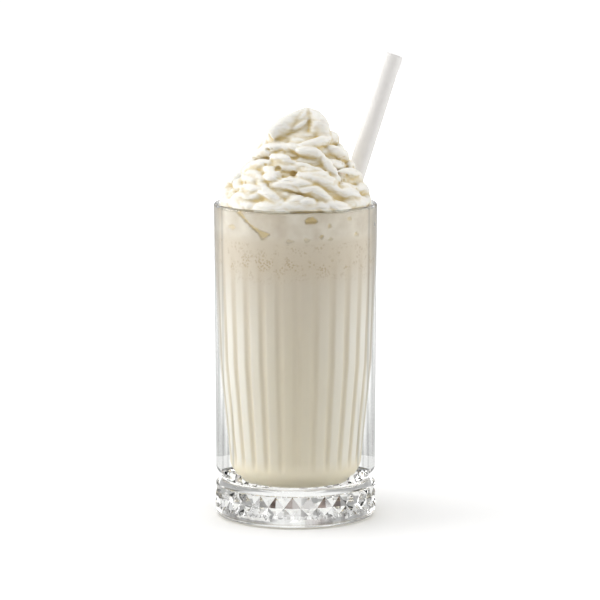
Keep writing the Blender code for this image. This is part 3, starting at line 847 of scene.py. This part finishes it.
def sink_holes(points):
    """How far each point is drawn in by the holes, in metres."""
    depth = np.zeros(len(points))
    for place, radius in cream_holes():
        away = points * 1000.0 - np.array(place)
        outward = np.array((place.x, place.y, 0.0)) / max(1.0, math.hypot(place.x, place.y))
        along = away @ outward
        sideways = away @ np.array((-outward[1], outward[0], HOLE_SLOPE)) / HOLE_WIDENING
        upward = away[:, 2] + HOLE_BEND * sideways ** 2
        near = np.clip(1.0 - np.hypot(sideways, upward) / radius, 0.0, 1.0)
        near *= np.abs(along) < HOLE_REACH
        full = HOLE_DEPTH * min(1.0, radius * HOLE_STEEPNESS)
        depth = np.maximum(depth, full * near * near * (3.0 - 2.0 * near))
    return depth / 1000.0


def ripple(place):
    """How far the cream stands out at a point, in metres: wandering ridges that wind down."""
    spot = Vector(place) * 1000.0
    turn = math.atan2(spot.x, -spot.y)
    out = 0.0
    for rise, count, wander, depth in RIPPLES:
        fine = noise.noise(spot / rise + Vector((5.0, 9.0, 2.0)))
        drift = wander * (noise.noise(spot / (rise * 2.0)) + 0.5 * fine)
        ridge = abs(math.cos(math.pi * spot.z / rise + 0.5 * count * turn + drift))
        swell = 0.5 + 0.9 * noise.noise(spot / (rise * 1.6) + Vector((count, 3.0, 7.0)))
        out += depth * (ridge ** 0.8 - 0.6) * max(0.1, min(1.0, swell))
    out *= 1.0 - CALM_SHARE * max(0.0, min(1.0, (spot.z - CALM_Z) / CALM_RUN))
    return out / 1000.0


def core_mesh():
    """The mound's plain core, turned."""
    core = turned_grid("core", CORE, CORE_COLUMNS, lambda angle, z: 0.0)
    mesh = core.data
    bpy.data.objects.remove(core, do_unlink=True)
    return mesh


def vertex_array(mesh, name):
    """A vector of each of the mesh's vertices, such as its place or its normal, as an array."""
    values = np.empty(len(mesh.vertices) * 3)
    mesh.vertices.foreach_get(name, values)
    return values.reshape(-1, 3)


def edge_array(mesh):
    """The mesh's edges as an array of vertex pairs."""
    edges = np.empty(len(mesh.edges) * 2, np.int64)
    mesh.edges.foreach_get("vertices", edges)
    return edges.reshape(-1, 2)


def smoothed(points, edges, passes, weight=0.5):
    """The points after passes of drawing each towards the middle of its neighbours."""
    count = np.bincount(edges.ravel(), minlength=len(points)).astype(float)[:, None]
    for _ in range(passes):
        total = np.zeros_like(points)
        for axis in range(3):
            total[:, axis] = np.bincount(edges[:, 0], points[edges[:, 1], axis], len(points))
            total[:, axis] += np.bincount(edges[:, 1], points[edges[:, 0], axis], len(points))
        points = points * (1.0 - weight) + weight * total / count
    return points


def paint_crease_shade(mesh):
    """Stores on each point how much painted shade it gets: more the deeper it lies between folds, from 0 on
    a crest to 1 in a fold's hollow, and more on undersides turned down from the light.
    """
    points, normals = vertex_array(mesh, "co"), vertex_array(mesh, "normal")
    edges = edge_array(mesh)
    level = points
    depth = np.full(len(points), CREST_TONE)
    for passes, full in (FINE_CREASE, WIDE_CREASE):
        level = smoothed(level, edges, passes)
        depth += ((level - points) * normals).sum(axis=1) / full
    # Painted shade on the undersides, which are turned down away from the light
    depth += UNDERSIDE_SHADE * np.clip(UNDERSIDE_SLOPE - normals[:, 2], 0.0, UNDERSIDE_MOST)
    layer = mesh.attributes.new("crease_shade", "FLOAT", "POINT")
    layer.data.foreach_set("value", np.clip(depth, -1.0, 2.0))


def move_points(mesh, points):
    """Sets the mesh's vertices to an array of points."""
    mesh.vertices.foreach_set("co", points.ravel())
    mesh.update()


def make_mound():
    """The piped mound: core, rope, folds and peak fused, softened, rippled and pitted with holes."""
    section = star_section()
    mound = add_object("cream_mound", bpy.data.meshes.new("cream_mound"))
    joined = bmesh.new()
    joined.from_mesh(core_mesh())
    joined.from_mesh(make_rope(section))
    paths = [fold_path(fold) for fold in [*FRONT_FOLDS, *back_folds()]]
    for path in paths + [lobe_path(lobe) for lobe in PEAK_LOBES]:
        joined.from_mesh(round_tube(path))
    joined.to_mesh(mound.data)
    joined.free()
    remesh = mound.modifiers.new("Fuse", "REMESH")
    remesh.mode = "VOXEL"
    remesh.voxel_size = CREAM_VOXEL
    mesh = evaluated_mesh(mound)
    mound.modifiers.clear()
    mound.data = mesh
    edges = edge_array(mesh)
    points = smoothed(vertex_array(mesh, "co"), edges, CREAM_SOFTENING)
    move_points(mesh, points)
    normals = vertex_array(mesh, "normal")
    points += normals * np.array([ripple(point) for point in points])[:, None]
    points = smoothed(points, edges, RIPPLE_SOFTENING)
    points -= normals * sink_holes(points)[:, None]
    most = wall_radius(GLASS_HEIGHT) - 0.0002
    reach = np.hypot(points[:, 0], points[:, 1])
    points[:, :2] *= np.where(reach > most, most / np.maximum(reach, 1e-9), 1.0)[:, None]
    move_points(mesh, points)
    mesh.shade_smooth()
    paint_crease_shade(mesh)
    bpy.data.objects.remove(section, do_unlink=True)
    return mound


def straw_point(z):
    """The point of the straw's axis at a height."""
    return STRAW_AT + STRAW_LEAN * (z - STRAW_AT.z)


def make_straw():
    """The straw: a thin tube with rounded ends, open at both."""
    start, end = straw_point(STRAW_LOW_Z), straw_point(STRAW_TOP_Z)
    length = (end - start).length
    bore = STRAW_RADIUS - STRAW_WALL
    turn = STRAW_LEAN.to_track_quat("Z", "Y")
    soft = STRAW_ROUNDING
    ring = [(bore, soft), (bore + soft, 0.0), (STRAW_RADIUS - soft, 0.0), (STRAW_RADIUS, soft)]
    ring += [(STRAW_RADIUS, z) for z in steps_between(length * 0.02, length, STRAW_OUTER_ROWS)]
    ring += [(STRAW_RADIUS, length - soft), (STRAW_RADIUS - soft, length)]
    ring += [(bore + soft, length), (bore, length - soft)]
    ring += [(bore, length - z) for z in steps_between(length * 0.02, length, STRAW_BORE_ROWS)]
    vertices = []
    for radius, z in ring:
        for j in range(STRAW_COLUMNS):
            angle = math.tau * j / STRAW_COLUMNS
            place = Vector((radius * math.cos(angle), radius * math.sin(angle), z))
            vertices.append(start + turn @ place)
    faces = []
    for i in range(len(ring)):
        for j in range(STRAW_COLUMNS):
            a, b = i * STRAW_COLUMNS, (i + 1) % len(ring) * STRAW_COLUMNS
            k = (j + 1) % STRAW_COLUMNS
            faces.append((a + j, a + k, b + k, b + j))
    return mesh_piece("drinking_straw", vertices, faces, 40)


def new_material(name):
    """A Principled material: (material, its node tree, its shader)."""
    material = bpy.data.materials.new(name)
    material.use_nodes = True
    return material, material.node_tree, material.node_tree.nodes["Principled BSDF"]


def set_inputs(tree, node, inputs):
    """Sets a node's inputs, by name or number, to values, or links outputs to them."""
    for key, value in inputs.items():
        if isinstance(value, bpy.types.NodeSocket):
            tree.links.new(value, node.inputs[key])
        else:
            node.inputs[key].default_value = value


def add_node(tree, kind, inputs):
    """A new shader node with its inputs set."""
    node = tree.nodes.new(kind)
    set_inputs(tree, node, inputs)
    return node


def add_math(tree, operation, first, second):
    """The result of an operation on two outputs or numbers."""
    node = add_node(tree, "ShaderNodeMath", {0: first, 1: second})
    node.operation = operation
    return node.outputs[0]


def object_place(tree):
    """Where a point lies in the object's own space."""
    return add_node(tree, "ShaderNodeTexCoord", {}).outputs["Object"]


def stored_value(tree, name):
    """A value that the mesh stores on its points or faces."""
    attribute = tree.nodes.new("ShaderNodeAttribute")
    attribute.attribute_name = name
    return attribute.outputs["Fac"]


def add_noise(tree, scale, detail):
    """A noise texture in the object's own space."""
    inputs = {"Vector": object_place(tree), "Scale": scale, "Detail": detail}
    return add_node(tree, "ShaderNodeTexNoise", inputs).outputs["Fac"]


def add_ramp(tree, factor, stops):
    """The colour at a factor along (position, colour) stops, where a number is a grey."""
    node = add_node(tree, "ShaderNodeValToRGB", {"Fac": factor})
    while len(node.color_ramp.elements) < len(stops):
        node.color_ramp.elements.new(0.5)
    for element, (position, colour) in zip(node.color_ramp.elements, stops):
        element.position = position
        element.color = (*colour, 1.0) if isinstance(colour, tuple) else (colour, colour, colour, 1.0)
    return node.outputs["Color"]


def add_range(tree, value, low, high, start=0.0, end=1.0):
    """A number from start to end as the value goes from low to high."""
    inputs = {"Value": value, "From Min": low, "From Max": high, "To Min": start, "To Max": end}
    return add_node(tree, "ShaderNodeMapRange", inputs).outputs["Result"]


def add_height(tree, low, high):
    """How far up between two heights a point lies, from 0 to 1."""
    split = add_node(tree, "ShaderNodeSeparateXYZ", {"Vector": object_place(tree)})
    return add_range(tree, split.outputs["Z"], low, high)


def add_mix(tree, factor, low, high):
    """A mix of two colours, each a colour or an output, by a factor output."""
    mix = tree.nodes.new("ShaderNodeMix")
    mix.data_type = "RGBA"
    low, high = [(*value, 1.0) if isinstance(value, tuple) else value for value in (low, high)]
    set_inputs(tree, mix, {0: factor, 6: low, 7: high})
    return mix.outputs[2]


def add_bump(tree, shader, height, strength, distance):
    """Relief on the shader from a height output."""
    inputs = {"Height": height, "Strength": strength, "Distance": distance}
    set_inputs(tree, shader, {"Normal": add_node(tree, "ShaderNodeBump", inputs).outputs["Normal"]})


def painted_edge_shade(tree, edge_shades):
    """The glass's painted edge shade, by how far its surface is turned away."""
    facing = add_node(tree, "ShaderNodeLayerWeight", {"Blend": 0.5}).outputs["Facing"]
    stops = [(place, tuple(level * share for share in GLASS_TINGE)) for place, level in edge_shades]
    return add_ramp(tree, facing, stops)


def glass_material(name, ior, edge_shades, shine, low_edge_shades=None):
    """Clear glass with the faint waviness of pressed glass, with painted shade that darkens it the more its
    surface is turned away, and painted dark reflections on the foot's facets.
    """
    material, tree, shader = new_material(name)
    edge_shade = painted_edge_shade(tree, edge_shades)
    if low_edge_shades:
        low = add_height(tree, MARGIN_FADE_Z, MARGIN_FULL_Z)
        edge_shade = add_mix(tree, low, edge_shade, painted_edge_shade(tree, low_edge_shades))
    set_inputs(tree, shader, {
        "Base Color": add_mix(tree, stored_value(tree, "facet_painted_reflection"), edge_shade, FACET_PAINTED_REFLECTION),
        "Roughness": 0.0,
        "IOR": ior,
        "Transmission Weight": 1.0,
        "Coat Weight": shine,
        "Coat IOR": FOOT_IOR,
    })
    add_bump(tree, shader, add_noise(tree, scale=60.0, detail=2.0), strength=0.15, distance=0.0002)
    return material


def soft_food(tree, shader, colour, roughness, inward):
    """Gives a shader the colour, the roughness and the light inside it of a milky food."""
    set_inputs(tree, shader, {
        "Base Color": colour,
        "Roughness": roughness,
        "Subsurface Weight": inward,
        "Subsurface Radius": (1.0, 0.9, 0.7),
        "Subsurface Scale": 0.0012,
    })


def cream_material():
    """Whipped cream: white on its crests, with painted golden shade in its creases and on its undersides,
    and a soft sheen.
    """
    material, tree, shader = new_material("whipped_cream_soft")
    place = {"Vector": object_place(tree), "Scale": STREAK_STRETCH, "Rotation": STREAK_TURN}
    drawn = add_node(tree, "ShaderNodeMapping", place).outputs["Vector"]
    inputs = {"Vector": drawn, "Scale": STREAK_SCALE, "Detail": 4.0, "Distortion": 0.8}
    streaks = add_node(tree, "ShaderNodeTexNoise", inputs).outputs["Fac"]
    deeper = add_range(tree, streaks, *STREAK_SPAN, STREAK_TONE, -STREAK_TONE)
    # The stored painted shade, moved up and down by the streaks
    depth = add_math(tree, "ADD", stored_value(tree, "crease_shade"), deeper)
    soft_food(tree, shader, add_ramp(tree, depth, CREAM_COLOURS_AND_SHADE), roughness=0.42, inward=0.25)
    add_bump(tree, shader, streaks, strength=0.8, distance=STREAK_DEPTH)
    return material


def plug_material():
    """Cream against the glass: beige, with golden gaps and the drink's colour at its foot."""
    material, tree, shader = new_material("whipped_cream_on_glass")
    cloud = add_noise(tree, scale=90.0, detail=4.0)
    cloudy = add_ramp(tree, cloud, ((0.35, PLUG_DARK), (0.68, PLUG_LIGHT)))
    colour = add_mix(tree, stored_value(tree, "gap"), cloudy, GAP_COLOUR)
    colour = add_mix(tree, add_height(tree, *SEAM), colour, DRINK_COLOURS_AND_FOOT_LIGHT[-1][1])
    soft_food(tree, shader, colour, roughness=0.45, inward=0.2)
    add_bump(tree, shader, add_noise(tree, scale=1200.0, detail=4.0), strength=0.3, distance=0.0002)
    return material


def add_specks(tree, scale, size, spread):
    """Small round specks, as a factor output, where the painted shade of bubbles of one size goes, in loose
    clouds.
    """
    cells = add_node(tree, "ShaderNodeTexVoronoi", {"Vector": object_place(tree), "Scale": scale})
    bubble = add_ramp(tree, cells.outputs["Distance"], ((size * 0.6, 1.0), (size, 0.0)))
    cloud = add_noise(tree, scale * 0.22, detail=3.0)
    return add_math(tree, "MULTIPLY", bubble, add_ramp(tree, cloud, ((spread, 0.0), (spread + 0.12, 1.0))))


def drink_material():
    """The milkshake: smooth, darker towards its top with painted light at its foot, painted light on its
    ribs and painted shade in their grooves, and small bubbles painted as dark specks of shade towards its
    top.
    """
    material, tree, shader = new_material("vanilla_milkshake_drink")
    up = add_height(tree, FLOOR_Z, DRINK_TOP_Z)
    # The drink's colour by height, with painted light at its foot
    colour = add_ramp(tree, up, DRINK_COLOURS_AND_FOOT_LIGHT)
    rib_light_and_shade = stored_value(tree, "rib_light_and_shade")
    # Painted shade in the rib grooves and painted light on the ribs
    for full, tone in ((0.0, GROOVE_PAINTED_SHADE), (1.0, RIB_PAINTED_LIGHT)):
        share = add_range(tree, rib_light_and_shade, 0.5, full, 0.0, RIB_PAINTED_SHARE)
        colour = add_mix(tree, share, colour, tone)
    froth = add_ramp(tree, up, FROTH)
    # Painted shade of the froth's bubbles, as dark specks
    for scale, size, spread in SPECKS:
        amount = add_math(tree, "MULTIPLY", add_specks(tree, scale, size, spread), froth)
        colour = add_mix(tree, amount, colour, BUBBLE_PAINTED_SHADE)
    soft_food(tree, shader, colour, roughness=0.4, inward=0.2)
    add_bump(tree, shader, add_noise(tree, scale=400.0, detail=3.0), strength=0.12, distance=0.0002)
    return material


def straw_material():
    """White straw with a satin surface."""
    material, tree, shader = new_material("white_straw_satin")
    grain = add_noise(tree, scale=300.0, detail=3.0)
    colour = add_ramp(tree, grain, ((0.3, STRAW_DARK), (0.7, STRAW_LIGHT)))
    set_inputs(tree, shader, {"Base Color": colour, "Roughness": 0.5})
    add_bump(tree, shader, grain, strength=0.05, distance=0.0001)
    return material


def floor_material():
    """White floor, lit a little from below and more so far away, and greyer where it is mirrored."""
    material, tree, shader = new_material("white_floor")
    reach = tree.nodes.new("ShaderNodeVectorMath")
    reach.operation = "LENGTH"
    set_inputs(tree, reach, {0: object_place(tree)})
    share = add_math(tree, "DIVIDE", reach.outputs["Value"], FLOOR_REACH)
    mirrored = add_node(tree, "ShaderNodeLightPath", {}).outputs["Is Reflection Ray"]
    set_inputs(tree, shader, {
        "Base Color": add_mix(tree, mirrored, FLOOR_WHITE, FLOOR_BOUNCE),
        "Emission Color": add_mix(tree, mirrored, add_ramp(tree, share, FLOOR_GLOW), (0.0, 0.0, 0.0)),
        "Roughness": 0.8,
        "Emission Strength": 1.0,
    })
    return material


def dress(obj, material, slot, *nodes):
    """Gives a piece its material and the root body, and hides the CAD nodes that it stands for; the slot is
    not used.
    """
    obj.data.materials.append(material)
    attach(obj, "root")
    if nodes:
        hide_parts(*nodes)


def make_camera():
    """The photograph's camera."""
    camera = bpy.data.cameras.new("photo_camera")
    camera.sensor_width = SENSOR_MM
    camera.lens = FOCAL_PIXELS / IMAGE_SIZE * SENSOR_MM
    camera.clip_start = 0.01
    obj = add_object("photo_camera", camera)
    obj.location = CAMERA_AT
    obj.rotation_euler = (math.pi / 2 - CAMERA_DOWN, 0.0, 0.0)
    bpy.context.scene.camera = obj


def make_light(name, place, size, power):
    """A soft light aimed at the middle of the glass."""
    light = bpy.data.lights.new(name, "AREA")
    light.shape = "RECTANGLE"
    light.size, light.size_y = size
    light.energy = power
    obj = add_object(name, light)
    obj.location = place
    obj.rotation_euler = (LIGHTS_AIM_AT - Vector(place)).to_track_quat("-Z", "Y").to_euler()


def make_studio():
    """A white floor, the room and the lights."""
    bpy.ops.mesh.primitive_plane_add(size=2 * FLOOR_REACH, location=(0.0, 0.0, FLOOR_Z_BELOW))
    floor = bpy.context.object
    floor.name = "floor"
    floor.data.materials.append(floor_material())
    make_world()
    for light in LIGHTS:
        make_light(*light)
    bpy.context.scene.view_settings.view_transform = "Standard"


def make_world():
    """A white wall behind, bright screens at the sides and a dim room in front."""
    world = bpy.data.worlds.new("studio")
    world.use_nodes = True
    tree = world.node_tree
    place = add_node(tree, "ShaderNodeTexCoord", {}).outputs["Generated"]
    split = add_node(tree, "ShaderNodeSeparateXYZ", {"Vector": place}).outputs
    turn = add_math(tree, "ARCTAN2", split["X"], split["Y"])
    share = add_math(tree, "DIVIDE", add_math(tree, "ABSOLUTE", turn, 0.0), math.pi)
    wall = add_ramp(tree, share, ROOM_LIGHT)
    ceiling = add_ramp(tree, share, CEILING_LIGHT)
    light = add_mix(tree, add_range(tree, split["Z"], *CEILING_SPAN), wall, ceiling)
    seen = add_node(tree, "ShaderNodeLightPath", {}).outputs["Is Camera Ray"]
    shown = {"Color": add_mix(tree, seen, light, BACKDROP), "Strength": 1.0}
    set_inputs(tree, tree.nodes["Background"], shown)
    bpy.context.scene.world = world


def dress_glass(glass):
    """Gives the glass its materials: the foot's, the body's, the rim's and the low corner's."""
    foot = glass_material("clear_pressed_glass", FOOT_IOR, FOOT_EDGE_SHADE, 0.0)
    body = glass_material("clear_body_glass", BODY_IOR, BODY_EDGE_SHADE, GLASS_SHINE, MARGIN_EDGE_SHADE)
    rim = glass_material("clear_rim_glass", BODY_IOR, RIM_EDGE_SHADE, GLASS_SHINE)
    corner = glass_material("clear_corner_glass", CORNER_IOR, CORNER_EDGE_SHADE, 0.0)
    dress(glass, foot, "clear_glass", "glass")
    for material in (body, rim, corner):
        glass.data.materials.append(material)
    for face in glass.data.polygons:
        z = face.center.z
        face.material_index = 2 if z > RIM_GLASS_Z else 1 if z > BODY_CORNER_Z else 3 if z > NECK_Z else 0


def main():
    make_camera()
    make_studio()
    dress_glass(make_glass())
    dress(make_drink(), drink_material(), "milkshake", "milkshake")
    dress(make_mound(), cream_material(), "whipped_cream", "whipped_cream")
    dress(make_plug(), plug_material(), "whipped_cream", "whipped_cream")
    dress(make_straw(), straw_material(), "white_straw", "straw")


main()
